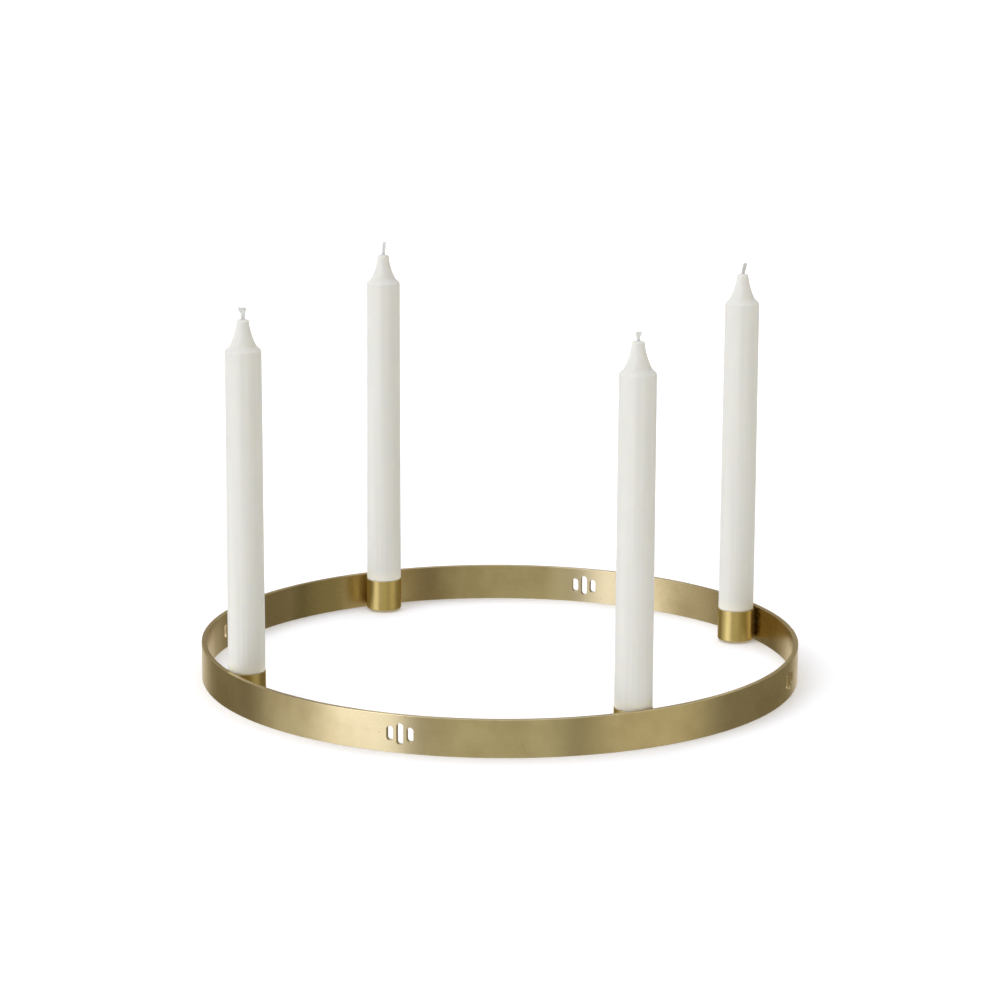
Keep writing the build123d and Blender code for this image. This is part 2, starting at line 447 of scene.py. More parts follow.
# Mesh helpers: the cosine from which two normals count as one, and the radius below which a point is on
# the axis
SAME_WAY = 0.9999
ON_AXIS = 1e-9


def make_piece(name, verts, faces, material, body, node, normals=None, origin=(0.0, 0.0, 0.0)):
    """Smooth mesh piece that stands for a CAD node and rides on its body."""
    mesh = bpy.data.meshes.new(name)
    mesh.from_pydata([tuple(v) for v in verts], [], faces)
    mesh.polygons.foreach_set("use_smooth", [True] * len(mesh.polygons))
    if normals is not None:
        mesh.normals_split_custom_set_from_vertices([tuple(n) for n in normals])
    mesh.materials.append(material)
    piece = bpy.data.objects.new(name, mesh)
    piece.location = origin
    bpy.context.scene.collection.objects.link(piece)
    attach(piece, body)
    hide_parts(node)
    return piece


def half_turn(angle):
    """The same angle within half a turn of zero."""
    return (angle + math.pi) % math.tau - math.pi


def band_faces(first, second):
    """Faces between two closed loops of as many verts."""
    count = len(first)
    for k in range(count):
        n = (k + 1) % count
        yield first[k], first[n], second[n], second[k]


def rounded(corners, spacing, arc_steps=5, closed=False):
    """Profile through corners (r, z, radius), each rounded; the outside is on the right.

    Returns rows of r, z and the outward normal's r and z. Straight runs get a row at each spacing.
    """
    points = np.array([c[:2] for c in corners], float)
    count = len(points)
    rows = []
    for i, (r, z, radius) in enumerate(corners):
        here = points[i]
        if not closed and i in (0, count - 1):
            step = points[1] - here if i == 0 else here - points[count - 2]
            step = step / np.linalg.norm(step)
            rows.append((r, z, step[1], -step[0]))
            continue
        back = points[i - 1] - here
        ahead = points[(i + 1) % count] - here
        back, ahead = back / np.linalg.norm(back), ahead / np.linalg.norm(ahead)
        half = math.acos(max(-1.0, min(1.0, float(back @ ahead)))) / 2
        cut = radius / math.tan(half)
        inner = (back + ahead) / np.linalg.norm(back + ahead)
        centre = here + inner * radius / math.sin(half)
        turn = -back[0] * ahead[1] + back[1] * ahead[0]
        first, last = here + back * cut - centre, here + ahead * cut - centre
        start = math.atan2(first[1], first[0])
        sweep = half_turn(math.atan2(last[1], last[0]) - start)
        side = 1.0 if turn > 0 else -1.0
        for step in range(arc_steps + 1):
            angle = start + sweep * step / arc_steps
            way = np.array((math.cos(angle), math.sin(angle)))
            spot = centre + way * radius
            rows.append((spot[0], spot[1], side * way[0], side * way[1]))
    filled = []
    pairs = list(zip(rows, rows[1:])) + ([(rows[-1], rows[0])] if closed else [])
    for first, second in pairs:
        filled.append(first)
        length = math.hypot(second[0] - first[0], second[1] - first[1])
        straight = first[2] * second[2] + first[3] * second[3] > SAME_WAY
        extra = int(length / spacing) if straight else 0
        for step in range(1, extra + 1):
            share = step / (extra + 1)
            spot = tuple(a + (b - a) * share for a, b in zip(first[:2], second[:2]))
            filled.append(spot + first[2:])
    if not closed:
        filled.append(rows[-1])
    return filled


def lathe(rows, segments, closed, wobble=None):
    """Verts, faces and normals of a profile turned about the z axis; an end on the axis becomes a pole.

    A wobble gives the radius at a radius, height and angle.
    """
    verts, normals, rings = [], [], []
    angles = [math.tau * k / segments for k in range(segments)]
    for r, z, nr, nz in rows:
        if r < ON_AXIS:
            rings.append([len(verts)] * segments)
            verts.append((0.0, 0.0, z))
            normals.append((0.0, 0.0, math.copysign(1.0, nz)))
            continue
        rings.append(list(range(len(verts), len(verts) + segments)))
        for angle in angles:
            c, s = math.cos(angle), math.sin(angle)
            grown = wobble(r, z, angle) if wobble else r
            verts.append((grown * c, grown * s, z))
            normals.append((nr * c, nr * s, nz))
    faces = []
    pairs = list(zip(rings, rings[1:])) + ([(rings[-1], rings[0])] if closed else [])
    for low, high in pairs:
        for corners in band_faces(low, high):
            face = [v for i, v in enumerate(corners) if v != corners[i - 1]]
            if len(face) > 2:
                faces.append(face)
    return verts, faces, normals


# Ring: rows of points up each face, steps round an edge and across the top, spans from a group of slots
# to a seat and across a seat, and half the width of the small step at each side of a seat
RING_ROWS = 17
RING_EDGE_STEPS = 5
RING_TOP_STEPS = 4
GAP_SPANS = 63
SEAT_SPANS = 6
SEAT_SLIVER = 0.004 * MM
# Slots: steps across a slot's cell and up its straight side, how much of each round end in degrees goes
# with the side, shares of the way from the cell to the slot's rim and through the band, and bevel steps
SLOT_STEPS = 8
SLOT_SIDE_STEPS = 6
SLOT_SIDE_TURN = 55.0
SLOT_EASING = (0.28, 0.52, 0.72, 0.88, 1.0)
SLOT_DEPTHS = (0.33, 0.67)
SLOT_BEVEL_STEPS = 4

ROW_HEIGHTS = [RING_EDGE + (RING_HEIGHT - 2 * RING_EDGE) * k / (RING_ROWS - 1) for k in range(RING_ROWS)]


def ring_stations():
    """Azimuths of the ring's stations in radians; and each slot's centre, first station and half height."""
    cell = SLOT_PITCH / RING_OUTER
    half_gap = math.radians(45) - 1.5 * cell
    sliver = SEAT_SLIVER / SEAT_RADIUS
    stretches = (
        (-half_gap, -SEAT_HALF_ANGLE - sliver, GAP_SPANS),
        (-SEAT_HALF_ANGLE + sliver, SEAT_HALF_ANGLE - sliver, SEAT_SPANS),
        (SEAT_HALF_ANGLE + sliver, half_gap, GAP_SPANS),
    )
    stations, slots = [], []
    for quarter in range(4):
        cup = math.radians(90) * quarter
        for first, last, spans in stretches:
            stations += [cup + first + (last - first) * k / spans for k in range(spans + 1)]
        stations.pop()
        for index, half_height in enumerate(SLOT_HALF_HEIGHTS):
            start = cup + half_gap + cell * index
            slots.append((start + cell / 2, len(stations), half_height))
            stations += [start + cell * k / SLOT_STEPS for k in range(SLOT_STEPS)]
    return stations, slots


def ring_section():
    """Points round the band's section (r, z, normal's r and z), and where its inner face starts."""
    high, low = RING_HEIGHT - RING_EDGE, RING_EDGE
    out_face, in_face = RING_OUTER - RING_EDGE, RING_INNER + RING_EDGE

    def corner(r, z, start):
        angles = [math.radians(start + 90 * k / RING_EDGE_STEPS) for k in range(1, RING_EDGE_STEPS)]
        ways = [(math.cos(angle), math.sin(angle)) for angle in angles]
        return [(r + RING_EDGE * c, z + RING_EDGE * s, c, s) for c, s in ways]

    def level(first, last, z, up):
        shares = range(RING_TOP_STEPS + 1)
        return [(first + (last - first) * k / RING_TOP_STEPS, z, 0.0, up) for k in shares]

    section = [(RING_OUTER, z, 1.0, 0.0) for z in ROW_HEIGHTS]
    section += corner(out_face, high, 0)
    section += level(out_face, in_face, RING_HEIGHT, 1.0)
    section += corner(in_face, high, 90)
    inner_start = len(section)
    section += [(RING_INNER, z, -1.0, 0.0) for z in reversed(ROW_HEIGHTS)]
    section += corner(in_face, low, 180)
    section += level(in_face, out_face, 0.0, -1.0)
    section += corner(out_face, low, 270)
    return section, inner_start


def slot_outline(half_height, grow):
    """Points round a slot (along, up, outward along and up), from its lower left and anticlockwise."""
    straight = half_height - SLOT_HALF_WIDTH
    side_turn = math.radians(SLOT_SIDE_TURN)
    arc = (RING_ROWS - 1 - SLOT_SIDE_STEPS) // 2
    right = [(-side_turn + side_turn * k / arc, -straight) for k in range(arc)]
    right += [(0.0, -straight + 2 * straight * k / SLOT_SIDE_STEPS) for k in range(SLOT_SIDE_STEPS + 1)]
    right += [(side_turn * (k + 1) / arc, straight) for k in range(arc)]
    end_turn = math.pi - 2 * side_turn
    top = [(side_turn + end_turn * k / SLOT_STEPS, straight) for k in range(SLOT_STEPS + 1)]
    bottom = [(math.pi + a, -z) for a, z in top]
    left = [(math.pi + a, -z) for a, z in right]
    loop = bottom[:-1] + right[:-1] + top[:-1] + left[:-1]
    reach = SLOT_HALF_WIDTH + grow
    return [(reach * math.cos(a), z + reach * math.sin(a), math.cos(a), math.sin(a)) for a, z in loop]


def make_ring():
    """Band with rounded edges, pierced slots with eased rims and a flat seat behind each cup."""
    stations, slots = ring_stations()
    section, inner_start = ring_section()
    count, size, last = len(stations), len(section), RING_ROWS - 1
    mid = RING_HEIGHT / 2
    verts, normals, faces, known = [], [], [], {}

    def put(angle, r, z, normal_out, normal_along, normal_up):
        """New vert, by its index."""
        c, s = math.cos(angle), math.sin(angle)
        verts.append((r * c, r * s, z))
        normals.append((normal_out * c - normal_along * s, normal_out * s + normal_along * c, normal_up))
        return len(verts) - 1

    def grid(i, j):
        """Vert at a station and a point of the section, by its index; the seats are flat."""
        i, j = i % count, j % size
        if (i, j) not in known:
            angle = stations[i]
            r, z, nr, nz = section[j]
            off = (angle + math.pi / 4) % (math.pi / 2) - math.pi / 4
            if abs(off) < SEAT_HALF_ANGLE and r < RING_OUTER - RING_EDGE:
                r = max(r, SEAT_RADIUS / math.cos(off))
            known[i, j] = put(angle, r, z, nr, 0.0, nz)
        return known[i, j]

    def rim_loops(centre, cell, half_height, radius, way):
        """Loops on one face of the band, from a slot's cell in to its rim and over the bevel to its wall."""
        loops = [[grid(i, row if way > 0 else inner_start + last - row) for i, row in cell]]
        outline, hole = slot_outline(half_height, SLOT_BEVEL), slot_outline(half_height, 0.0)
        for share in SLOT_EASING:
            loop = []
            for (i, row), (along, up, _, _) in zip(cell, outline):
                turned = half_turn(stations[i % count] - centre)
                spot = turned + (math.asin(along / radius) - turned) * share
                z = ROW_HEIGHTS[row] + (mid + up - ROW_HEIGHTS[row]) * share
                loop.append(put(centre + spot, radius, z, way, 0.0, 0.0))
            loops.append(loop)
        for k in range(1, SLOT_BEVEL_STEPS + 1):
            angle = math.radians(90 * k / SLOT_BEVEL_STEPS)
            c, s = math.cos(angle), math.sin(angle)
            grow, reach = SLOT_BEVEL * (1 - s), radius - way * (SLOT_BEVEL * (1 - c))
            loop = []
            for along, up, out_along, out_up in hole:
                spot = centre + math.asin((along + out_along * grow) / reach)
                loop.append(put(spot, reach, mid + up + out_up * grow, way * c, -out_along * s, -out_up * s))
            loops.append(loop)
        return loops

    pierced = {start + k for _, start, _ in slots for k in range(SLOT_STEPS)}
    walls = set(range(last)) | set(range(inner_start, inner_start + last))
    for i in range(count):
        for j in range(size):
            if not (i in pierced and j in walls):
                faces.append((grid(i, j), grid(i + 1, j), grid(i + 1, j + 1), grid(i, j + 1)))
    for centre, start, half_height in slots:
        end = start + SLOT_STEPS
        cell = [(start + k, 0) for k in range(SLOT_STEPS)] + [(end, k) for k in range(last)]
        cell += [(end - k, last) for k in range(SLOT_STEPS)] + [(start, last - k) for k in range(last)]
        outer = rim_loops(centre, cell, half_height, RING_OUTER, 1.0)
        inner = rim_loops(centre, cell, half_height, RING_INNER, -1.0)
        through = []
        for share in SLOT_DEPTHS:
            reach = RING_OUTER - SLOT_BEVEL + (RING_INNER - RING_OUTER + 2 * SLOT_BEVEL) * share
            through.append([put(centre + math.asin(along / reach), reach, mid + up, 0.0, -out_along, -out_up)
                            for along, up, out_along, out_up in slot_outline(half_height, 0.0)])
        chain = outer + through + inner[::-1]
        for first, second in zip(chain, chain[1:]):
            faces.extend(band_faces(first, second))
    make_piece("ring_band", verts, faces, BRASS_BAND, "holder", "ring", normals)


# Cups: the floor's dish from below, with its rise, its edges as shares of the radius and their rounding
CUP_DISH = 0.12 * MM
CUP_DISH_TOP = (0.72, 3.0 * MM)
CUP_DISH_EDGE = (0.80, 1.2 * MM)
CUP_SPACING = 1.2 * MM
CUP_SEGMENTS = 144

# Braze: levels up its height, those that taper at each end, how thin the ends are, and the swells on its
# way up as a share of the meniscus, a phase for each cup and a turn
BRAZE_LEVELS = 36
BRAZE_END_LEVELS = 3
BRAZE_END_SHARE = 0.72
BRAZE_SWELLS = ((0.07, 2.3, 9.0), (0.05, 1.1, 23.0))
BRAZE_MENISCUS_STEPS = 6
BRAZE_CUP_STEPS = 4


def make_cup(number, azimuth):
    """Turned cup with an eased rim, a rounded foot and a slightly dished floor."""
    corners = [
        (0.0, CUP_LOW + CUP_DISH, 0.0),
        (CUP_OUTER * CUP_DISH_TOP[0], CUP_LOW + CUP_DISH, CUP_DISH_TOP[1]),
        (CUP_OUTER * CUP_DISH_EDGE[0], CUP_LOW, CUP_DISH_EDGE[1]),
        (CUP_OUTER, CUP_LOW, CUP_FOOT_RADIUS),
        (CUP_OUTER, CUP_TOP, CUP_RIM_RADIUS),
        (CUP_BORE, CUP_TOP, CUP_RIM_RADIUS),
        (CUP_BORE, CUP_LOW + CUP_FLOOR, CUP_CORNER_RADIUS),
        (0.0, CUP_LOW + CUP_FLOOR, 0.0),
    ]
    verts, faces, normals = lathe(rounded(corners, CUP_SPACING), CUP_SEGMENTS, False)
    make_piece(f"cup_{number}", verts, faces, BRASS_CUP, "holder", f"candle_cup_{number}",
               normals, polar(CUP_AXIS, azimuth))


def make_braze(number, azimuth):
    """Filler between cup and ring: a hollow fillet on each side that swells a little on its way up."""
    turn = Matrix.Rotation(math.radians(azimuth), 3, "Z")
    verts, loops = [], []
    for level in range(BRAZE_LEVELS + 1):
        share = level / BRAZE_LEVELS
        z = BRAZE_LOW + (BRAZE_TOP - BRAZE_LOW) * share
        ends = min(1.0, min(share, 1 - share) * BRAZE_LEVELS / BRAZE_END_LEVELS)
        swell = sum(part * math.sin(phase * number + turns * share) for part, phase, turns in BRAZE_SWELLS)
        taper = BRAZE_END_SHARE + (1 - BRAZE_END_SHARE) * ends * (2 - ends)
        meniscus = BRAZE_MENISCUS * (1.0 + swell) * taper
        reach = SEAT_RADIUS - meniscus - CUP_AXIS
        spread = math.sqrt((CUP_OUTER + meniscus) ** 2 - reach**2)
        meet = math.atan2(spread, reach)
        half = []
        for k in range(BRAZE_MENISCUS_STEPS + 1):
            angle = (math.pi + meet) * k / BRAZE_MENISCUS_STEPS
            half.append((CUP_AXIS + reach + meniscus * math.cos(angle), spread - meniscus * math.sin(angle)))
        for k in reversed(range(BRAZE_CUP_STEPS)):
            angle = meet * k / BRAZE_CUP_STEPS
            half.append((CUP_AXIS + CUP_OUTER * math.cos(angle), CUP_OUTER * math.sin(angle)))
        loop = half + [(x, -y) for x, y in reversed(half[:-1])]
        loops.append(list(range(len(verts), len(verts) + len(loop))))
        verts += [turn @ Vector((x, y, z)) for x, y in loop]
    faces = [tuple(reversed(loops[0])), tuple(loops[-1])]
    for low, high in zip(loops, loops[1:]):
        faces.extend(band_faces(low, high))
    make_piece(f"braze_{number}", verts, faces, BRAZE, "holder", f"braze_joint_{number}")


# Candles: how far the bore's verts reach, and rounding of the corners, up from the bore at the foot
BORE_REACH = 1.5 * WICK_BORE
BORE_ROUNDING = 0.1 * MM
FOOT_ROUNDING = 0.25 * MM
STEP_ROUNDINGS = (0.1 * MM, 0.16 * MM)
SHOULDER_ROUNDING = 0.7 * MM
CROWN_FOOT_ROUNDING = 1.6 * MM
CROWN_ROUNDING = 0.02 * MM
CROWN_TIP_ROUNDING = 0.6 * MM
# Collar of wax that climbs the wick: radius, rise from the candle's length and rounding of each corner
WAX_COLLAR = (
    (2.2 * MM, -0.16 * MM, 0.9 * MM), (1.45 * MM, 0.02 * MM, 0.5 * MM),
    (1.16 * MM, 0.33 * MM, 0.06 * MM), (WICK_BORE, 0.30 * MM, 0.03 * MM),
)
# The crown's curve has so many steps, and its first ones give way to the rounding of its foot
CROWN_STEPS = 26
CROWN_STEPS_ROUNDED = 3
CANDLE_SPACING = 1.6 * MM
CANDLE_ARC_STEPS = 4
CANDLE_SEGMENTS = 160
# Pleats that reach down from the tip: waves with a share, a count round the candle and a phase per candle
PLEAT_REACH = CROWN_HEIGHT - 2.0 * MM
PLEAT_SWELL = 1.15
PLEAT_DEPTH = 0.035 * MM
PLEAT_WAVES = ((1.0, 9, 1.0), (0.6, 14, 2.1))
# Sway of the body from a little over the cup: waves as above, with a turn on their way up
SWAY_START = 2.0 * MM
SWAY_RUN = 20 * MM
SWAY_DEPTH = 0.028 * MM
SWAY_WAVES = ((1.0, 2, 1.0, 21.0), (0.6, 3, -2.0, 57.0))


def crown_curve(length):
    """Points of the crown's hollow side, an arc from its foot to just under its tip."""
    foot = np.array((CROWN_FOOT, length - CROWN_HEIGHT + CROWN_FOOT_RISE))
    tip = np.array((CROWN_TIP, length - CROWN_TIP_DROP))
    waist = np.array((tip[0] + (foot[0] - tip[0]) * CROWN_WAIST_WIDTH_SHARE,
                      foot[1] + (tip[1] - foot[1]) * CROWN_WAIST_HEIGHT_SHARE))
    a, b = waist - foot, tip - foot
    d = 2 * (a[0] * b[1] - a[1] * b[0])
    centre = foot + np.array((b[1] * (a @ a) - a[1] * (b @ b), a[0] * (b @ b) - b[0] * (a @ a))) / d
    radius = np.linalg.norm(foot - centre)
    start, end = (math.atan2(*(p - centre)[::-1]) for p in (foot, tip))
    sweep = half_turn(end - start)
    angles = [start + sweep * k / CROWN_STEPS for k in range(CROWN_STEPS + 1)]
    return [(centre[0] + radius * math.cos(angle), centre[1] + radius * math.sin(angle)) for angle in angles]


def make_candle(number, azimuth):
    """Crown candle: tapered foot, body drawn in to a soft shoulder, and hollow crown with a wax collar."""
    length = CANDLE_LENGTHS[number - 1]
    crown = crown_curve(length)
    corners = [
        (WICK_BORE, 0.0, BORE_ROUNDING),
        (CANDLE_FOOT_BASE - CANDLE_FOOT_CHAMFER, 0.0, FOOT_ROUNDING),
        (CANDLE_FOOT_BASE, CANDLE_FOOT_CHAMFER, FOOT_ROUNDING),
        (CANDLE_FOOT, CANDLE_FOOT_TOP, STEP_ROUNDINGS[0]),
        (CANDLE_RADIUS, CANDLE_FOOT_TOP + CANDLE_STEP_RISE, STEP_ROUNDINGS[1]),
        (CANDLE_SHOULDER, length - CROWN_HEIGHT, SHOULDER_ROUNDING),
        (*crown[0], CROWN_FOOT_ROUNDING),
    ]
    corners += [(r, z, CROWN_ROUNDING) for r, z in crown[CROWN_STEPS_ROUNDED:-1]]
    corners += [(*crown[-1], CROWN_TIP_ROUNDING)]
    corners += [(r, length + rise, rounding) for r, rise, rounding in WAX_COLLAR]

    def wobble(r, z, angle):
        """Radius with the crown's pleats and the body's sway, but for the bore."""
        if r < BORE_REACH:
            return r
        share = max(0.0, min(1.0, (z - (length - PLEAT_REACH)) / PLEAT_REACH))
        pleat = math.sin(math.pi * min(1.0, share * PLEAT_SWELL)) ** 2
        folds = sum(part * math.sin(waves * angle + phase * number) for part, waves, phase in PLEAT_WAVES)
        free = max(0.0, min(1.0, (z - CANDLE_FOOT_TOP - SWAY_START) / SWAY_RUN))
        sway = sum(part * math.sin(waves * angle + phase * number + turn * z)
                   for part, waves, phase, turn in SWAY_WAVES)
        return r + PLEAT_DEPTH * pleat * folds + SWAY_DEPTH * free * sway

    rows = rounded(corners, CANDLE_SPACING, CANDLE_ARC_STEPS, True)
    verts, faces, _ = lathe(rows, CANDLE_SEGMENTS, True, wobble)
    make_piece(f"candle_{number}_wax", verts, faces, WAX, f"candle_{number}",
               f"candle_wax_{number}", None, polar(CUP_AXIS, azimuth, CANDLE_SEAT))


# Free ends of the wicks: along the bend plane and up from the wax, in millimetres
WICK_ROUTES = (
    ((0.0, -3.0), (0.08, 0.2), (0.28, 1.4), (0.62, 2.8), (0.98, 4.2), (1.28, 5.5), (1.50, 6.75)),
    ((0.0, -3.0), (0.0, 0.2), (0.03, 1.3), (0.25, 2.9), (0.52, 4.4), (0.42, 5.7), (0.56, 6.9), (1.00, 8.2)),
    ((0.0, -3.0), (0.0, 0.3), (0.02, 1.3), (0.08, 2.6), (0.12, 4.0), (0.08, 5.5), (0.04, 6.95)),
    ((0.0, -3.0), (0.0, 0.2), (-0.06, 1.0), (-0.20, 2.2), (-0.10, 3.6), (0.0, 5.3)),
)
WICK_POINTS = 90
# Core up the candle, from its foot to just under its tip, and the heart of the free end
CORE_POINTS = 24
CORE_DROP = 1.0 * MM
CORE_SHARE = 0.98
CORE_SIDES = 20
HEART_RADII = (0.62 * MM, 0.55 * MM)
HEART_SIDES = 12
# Plait of three strands: its pitch, its phase for each wick, how far the strands swing across and in depth,
# and its width along each free end as a share of the usual one
PLAIT_STRANDS = 3
PLAIT_PITCH = 3.6 * MM
PLAIT_PHASE = 0.8
PLAIT_SWING = 0.58 * MM
PLAIT_DEPTH = 0.30 * MM
PLAIT_START = 3.0 * MM
PLAIT_WIDTHS = (
    (1.05, 1.15, 1.25, 1.30, 1.30), (1.10, 1.12, 1.15, 1.20, 1.25),
    (1.10, 1.25, 1.40, 1.50, 1.50), (1.10, 0.98, 0.98, 1.10, 1.10),
)
PLAIT_CLOSING = 0.6
STRAND_RADIUS = 0.50 * MM
STRAND_RIPPLE = 0.03 * MM
STRAND_RIPPLES = 7
STRAND_WIDTH_POWER = 0.7
STRAND_TRIMS = (2, 5, 3)
STRAND_SIDES = 14
# Yarns that fan out at each tip: how far left and right, over what run, in millimetres, and how soon
WICK_FANS = (
    (-1.05, 1.15, 2.4, 0.6), (-0.70, 0.80, 1.8, 0.6),
    (-2.65, 1.60, 3.7, 0.36), (-1.45, 1.75, 3.2, 0.35),
)
YARNS = 11
YARN_LEAD = 12
YARN_STRAY = 0.06 * MM
YARN_DEPTH = 0.42 * MM
YARN_RADIUS = 0.43 * MM
YARN_RADIUS_SPREAD = 0.03 * MM
YARN_SIDES = 10
# Phases for each yarn and each wick, by which the yarns differ
YARN_NUDGES = (5.3, 2.0)
YARN_DEPTHS = (2.4, 1.0)
TIP_ROUNDING = 0.35 * MM
TIP_SHARE = 0.97


def spline_points(route):
    """Points read from a smooth spline through a route's control points."""
    curve = bpy.data.curves.new("route", "CURVE")
    curve.dimensions = "3D"
    curve.resolution_u = 16
    spline = curve.splines.new("NURBS")
    spline.points.add(len(route) - 1)
    for point, place in zip(spline.points, route):
        point.co = (*place, 1.0)
    spline.order_u = 3
    spline.use_endpoint_u = True
    holder = bpy.data.objects.new("route", curve)
    mesh = bpy.data.meshes.new_from_object(holder)
    points = np.array([v.co for v in mesh.vertices])
    bpy.data.objects.remove(holder)
    bpy.data.curves.remove(curve)
    bpy.data.meshes.remove(mesh)
    return points


def units(vectors):
    """Vectors of length one."""
    return vectors / np.linalg.norm(vectors, axis=1)[:, None]


def distances(points):
    """How far along a line each of its points lies."""
    return np.concatenate(([0.0], np.cumsum(np.linalg.norm(np.diff(points, axis=0), axis=1))))


def tube(points, radii, sides, across):
    """Verts, faces and UVs of a closed round tube along points; across is a direction near no tangent."""
    verts, uvs = [], []
    steps = units(np.gradient(points, axis=0))
    for point, step, radius, along in zip(points, steps, radii, distances(points)):
        side = np.cross(step, across)
        side /= np.linalg.norm(side)
        other = np.cross(step, side)
        for k in range(sides):
            angle = math.tau * k / sides
            verts.append(point + radius * (math.cos(angle) * side + math.sin(angle) * other))
            uvs.append((along, k / sides))
    loops = [range(i * sides, (i + 1) * sides) for i in range(len(points))]
    faces = [face for first, second in zip(loops, loops[1:]) for face in band_faces(first, second)]
    faces += [tuple(loops[0])[::-1], tuple(loops[-1])]
    return verts, faces, uvs


def make_wick(number, azimuth):
    """Wick: a plain core up the candle, then plaited strands in its free end, frayed a little at the tip."""
    length = CANDLE_LENGTHS[number - 1]
    bend, level = polar(1.0, WICK_AZIMUTH), polar(1.0, WICK_AZIMUTH + 90)
    route = [bend * (x * MM) + Vector((0, 0, length + z * MM)) for x, z in WICK_ROUTES[number - 1]]
    curve = spline_points(route)
    run = distances(curve)
    spots = np.linspace(0.0, run[-1], WICK_POINTS)
    line = np.stack([np.interp(spots, run, curve[:, axis]) for axis in range(3)], axis=1)
    along, out = np.array(bend), np.array(level)
    side = units(np.cross(out, units(np.gradient(line, axis=0))))
    verts, faces, uvs = [], [], []

    def take(made):
        """Add a tube to the wick."""
        offset = len(verts)
        verts.extend(made[0])
        faces.extend(tuple(v + offset for v in face) for face in made[1])
        uvs.extend(made[2])

    def rounded_tip(trim):
        """Shares of the radius along a tube of so many points, round at its end."""
        gone = (spots[trim - 1] - spots[:trim]) / TIP_ROUNDING
        return np.sqrt(1 - np.clip(TIP_SHARE - gone, 0, 1) ** 2)

    core = np.array([(0.0, 0.0, z) for z in np.linspace(0.0, length - CORE_DROP, CORE_POINTS)])
    take(tube(core, [WICK_RADIUS * CORE_SHARE] * CORE_POINTS, CORE_SIDES, np.array((1.0, 0.0, 0.0))))
    take(tube(line, np.linspace(*HEART_RADII, WICK_POINTS), HEART_SIDES, out))
    widths = PLAIT_WIDTHS[number - 1]
    opening = np.interp(spots, np.linspace(PLAIT_START, spots[-1], len(widths)), widths)
    left, right, fan_run, fan_power = WICK_FANS[number - 1]
    fan = np.clip((spots - spots[-1]) / (fan_run * MM) + 1, 0, 1)
    for strand in range(PLAIT_STRANDS):
        phase = math.tau * (spots / PLAIT_PITCH + strand / PLAIT_STRANDS) + PLAIT_PHASE * number
        swing, depth = PLAIT_SWING * np.sin(phase), PLAIT_DEPTH * np.sin(2 * phase)
        wave = side * swing[:, None] + out * depth[:, None]
        path = line + wave * (opening * (1 - PLAIT_CLOSING * fan))[:, None]
        trim = WICK_POINTS - STRAND_TRIMS[(strand + number) % len(STRAND_TRIMS)]
        thick = (STRAND_RADIUS + STRAND_RIPPLE * np.sin(STRAND_RIPPLES * phase)) * opening**STRAND_WIDTH_POWER
        take(tube(path[:trim], thick[:trim] * rounded_tip(trim), STRAND_SIDES, out))
    first = int(np.argmax(fan > 0)) - YARN_LEAD
    for yarn in range(YARNS):
        nudge = math.sin(YARN_NUDGES[0] * yarn + YARN_NUDGES[1] * number)
        reach = (left + (right - left) * yarn / (YARNS - 1)) * MM
        stray = reach * fan**fan_power + YARN_STRAY * nudge * fan
        depth = YARN_DEPTH * math.sin(YARN_DEPTHS[0] * yarn + YARN_DEPTHS[1] * number) * (0.5 + 0.5 * fan)
        path = line + along * stray[:, None] + out * depth[:, None]
        trim = WICK_POINTS - int(1.5 + 1.5 * nudge)
        thick = (YARN_RADIUS + YARN_RADIUS_SPREAD * nudge) * rounded_tip(trim)
        take(tube(path[first:trim], thick[first:], YARN_SIDES, out))
    piece = make_piece(f"candle_{number}_wick", verts, faces, COTTON, f"candle_{number}",
                       f"candle_wick_{number}", None, polar(CUP_AXIS, azimuth, CANDLE_SEAT))
    layer = piece.data.uv_layers.new(name="along")
    for loop in piece.data.loops:
        layer.data[loop.index].uv = uvs[loop.vertex_index]


# Floor: half its width in metres, its two tones and the light from below
FLOOR_REACH = 14.0
FLOOR_DIM = (0.962, 0.962, 0.962, 1.0)
FLOOR_PALE = (0.974, 0.974, 0.974, 1.0)
FLOOR_GLOW = 0.13

# Studio walls: azimuth of the middle, half width and softness in degrees, brightness above and below the
# horizon, height in degrees where the panel ends, and colour
STUDIO_BASE = 0.245
STUDIO_BASE_TINT = (1.0, 0.90, 0.65)
STUDIO_PANELS = (
    (189.4, 17.4, 7.0, 2.5, 0.97, 55.0, (1.0, 1.01, 1.10)),
    (159.2, 17.8, 9.0, 0.5, 0.42, 60.0, (1.0, 0.968, 0.85)),
    (241.0, 27.0, 7.0, 0.45, 0.34, 25.0, (1.0, 0.99, 0.755)),
    (303.0, 25.0, 9.0, 0.45, 0.37, 35.0, (1.0, 0.93, 0.67)),
    (332.0, 34.0, 14.0, 0.20, 0.0, 45.0, (1.0, 0.85, 0.45)),
    (64.0, 25.0, 12.0, 0.15, 0.66, 25.0, (1.0, 1.0, 1.03)),
)
PANEL_TOP_SOFTNESS = 12.0
HORIZON_SOFTNESS = 6.0
# Heights in degrees between which the walls' colour changes to the ceiling's
OVERHEAD_HEIGHTS = (15.0, 45.0)
OVERHEAD_TINT = (1.0, 1.012, 1.085)
# Large light above and behind the object: azimuth, height, half angle and softness in degrees, brightness
BACK_LIGHT = (63.0, 68.0, 30.0, 7.0, 1.15)
# Ceiling: brightness, height in degrees where it starts, and softness
CEILING = (0.50, 48.0, 12.0)
# Soft lamps that shape the candles' far sides: azimuth, height in degrees and power in watts
FILL_LAMPS = ((104.0, 20.0, 6.0), (44.0, 20.0, 4.6))
FILL_DISTANCE = 2.0
FILL_SIZE = 1.2


